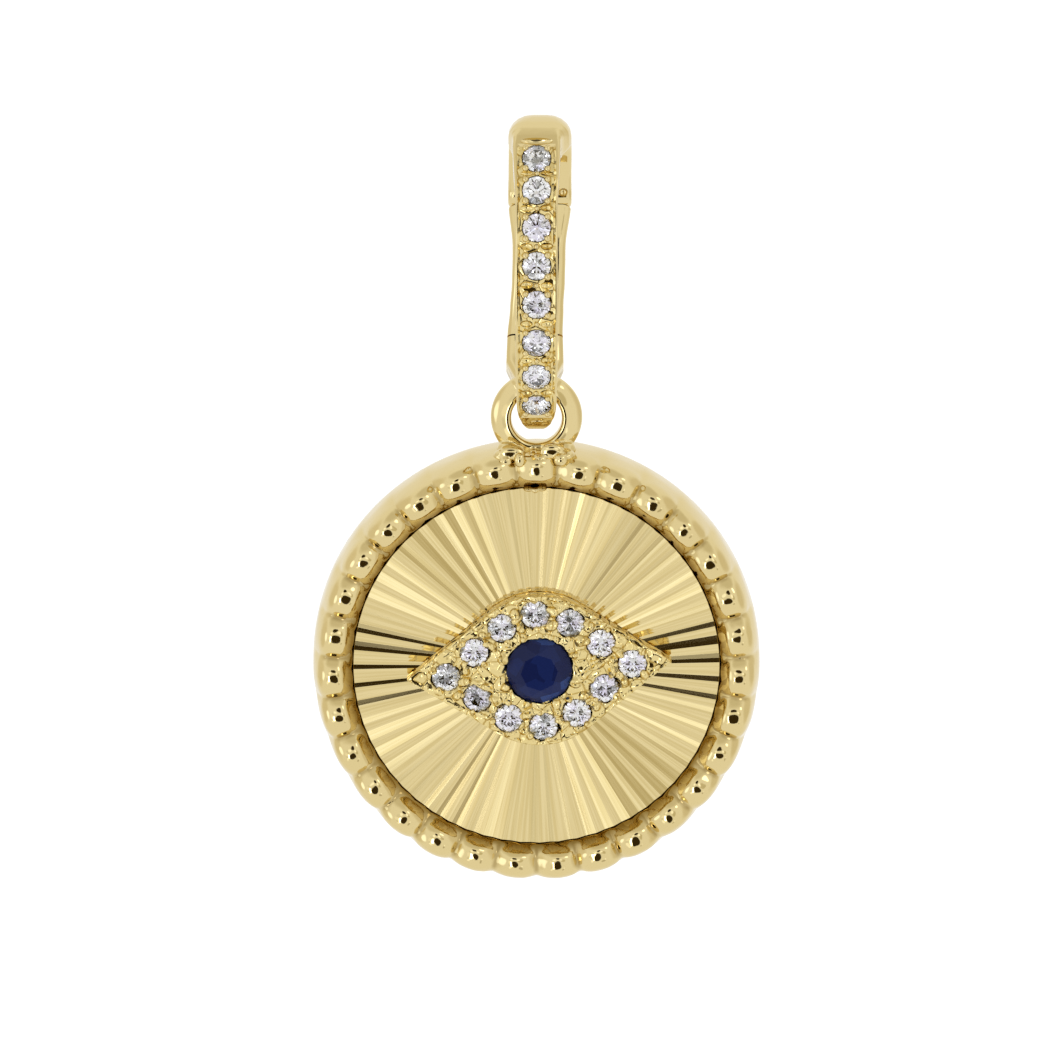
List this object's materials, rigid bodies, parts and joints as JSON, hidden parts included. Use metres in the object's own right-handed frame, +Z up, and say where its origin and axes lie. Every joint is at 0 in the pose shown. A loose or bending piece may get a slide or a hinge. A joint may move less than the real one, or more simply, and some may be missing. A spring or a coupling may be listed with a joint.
{
  "type": "evil eye pendant",
  "caption": "Round yellow gold pendant with a diamond and sapphire eye on a fluted disc in a beaded case, hanging from a hinged, stone-set bail.",
  "frame": {"origin": "highest point inside the bail, where the chain lies, in the pendant's middle plane", "axes": "+Z up along the hanging pendant, +X to the wearer's left, which is the viewer's right, +Y to the back; the front with the eye faces -Y"},
  "size_m": [0.016, 0.0063, 0.028],
  "materials": {
    "gold": "polished yellow gold",
    "diamond": "faceted and polished",
    "sapphire": "faceted and polished"
  },
  "bodies": {
    "bail": {"bail_front": "gold", "hinge_pin": "gold", "bail_diamond_1": "diamond", "bail_diamond_2": "diamond", "bail_diamond_3": "diamond", "bail_diamond_4": "diamond", "bail_diamond_5": "diamond", "bail_diamond_6": "diamond", "bail_diamond_7": "diamond", "bail_diamond_8": "diamond"},
    "gate": {"bail_gate": "gold"},
    "pendant": {"rim": "gold", "fluted_disc": "gold", "eye_plate": "gold", "sapphire": "sapphire", "eye_diamond_1": "diamond", "eye_diamond_2": "diamond", "eye_diamond_3": "diamond", "eye_diamond_4": "diamond", "eye_diamond_5": "diamond", "eye_diamond_6": "diamond", "eye_diamond_7": "diamond", "eye_diamond_8": "diamond", "eye_diamond_9": "diamond", "eye_diamond_10": "diamond", "eye_diamond_11": "diamond", "eye_diamond_12": "diamond"}
  },
  "joints": [
    {"name": "gate_hinge", "type": "hinge", "parent": "bail", "child": "gate", "pos_m": [0, 0.00223, -0.00215], "axis": [1, 0, 0], "range_deg": [0, 70]},
    {"name": "pendant_swing", "type": "hinge", "parent": "bail", "child": "pendant", "pos_m": [0, 0, -0.00858], "axis": [1, 0, 0], "range_deg": [-55, 55]}
  ]
}
